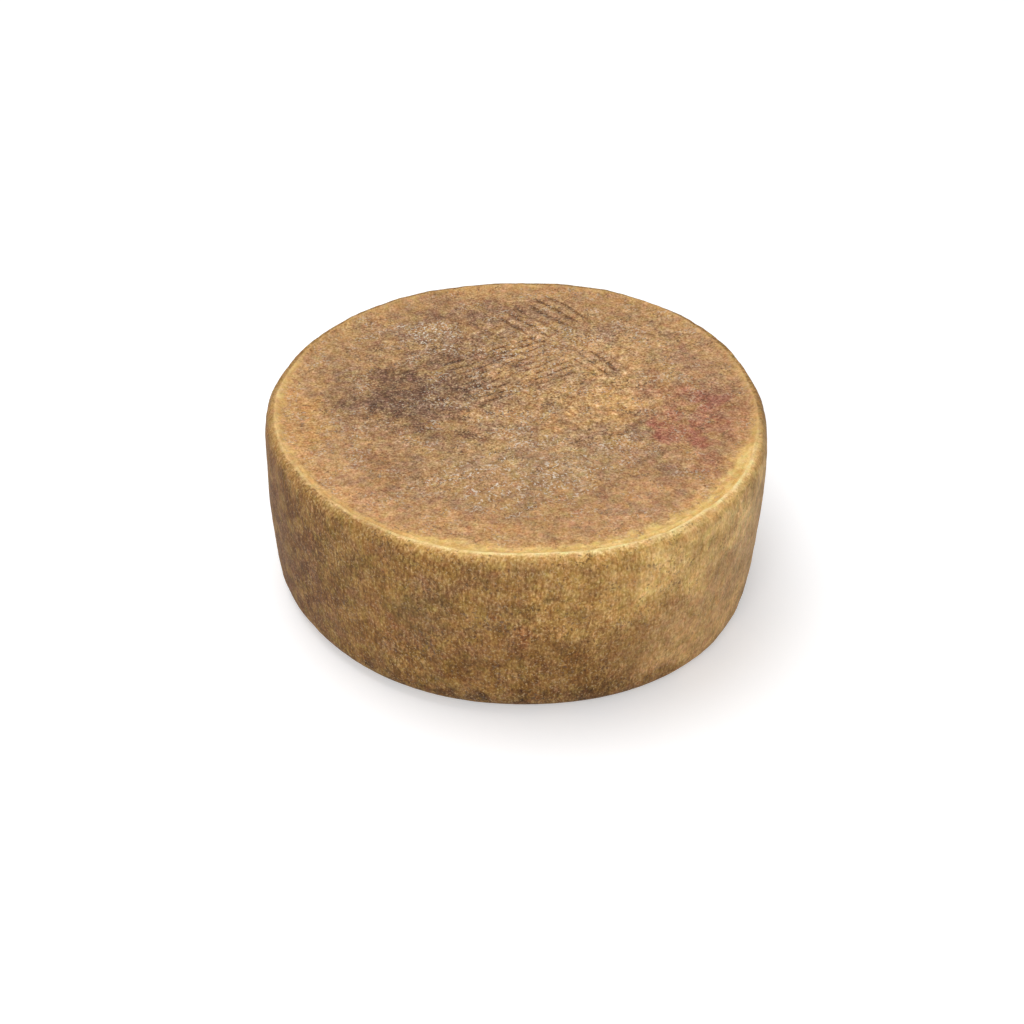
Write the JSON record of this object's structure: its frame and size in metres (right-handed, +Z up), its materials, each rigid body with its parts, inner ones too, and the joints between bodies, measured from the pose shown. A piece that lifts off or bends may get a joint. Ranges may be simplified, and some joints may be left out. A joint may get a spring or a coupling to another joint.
{
  "type": "alpine cheese wheel",
  "caption": "Whole round alpine cheese wheel with a barrelled natural rind, raised rim lip and mat-pressed furrows on its top face.",
  "frame": {"origin": "on the table plane, at the middle of the wheel's base", "axes": "+Z up, out of the top face that carries the mat's furrows; +X right and +Y away for one who faces the side with the clearest cloth imprint"},
  "size_m": [0.276, 0.2805, 0.104],
  "materials": {
    "cheese_rind": "matte"
  },
  "bodies": {
    "root": {"cheese_wheel": "cheese_rind"}
  },
  "joints": []
}
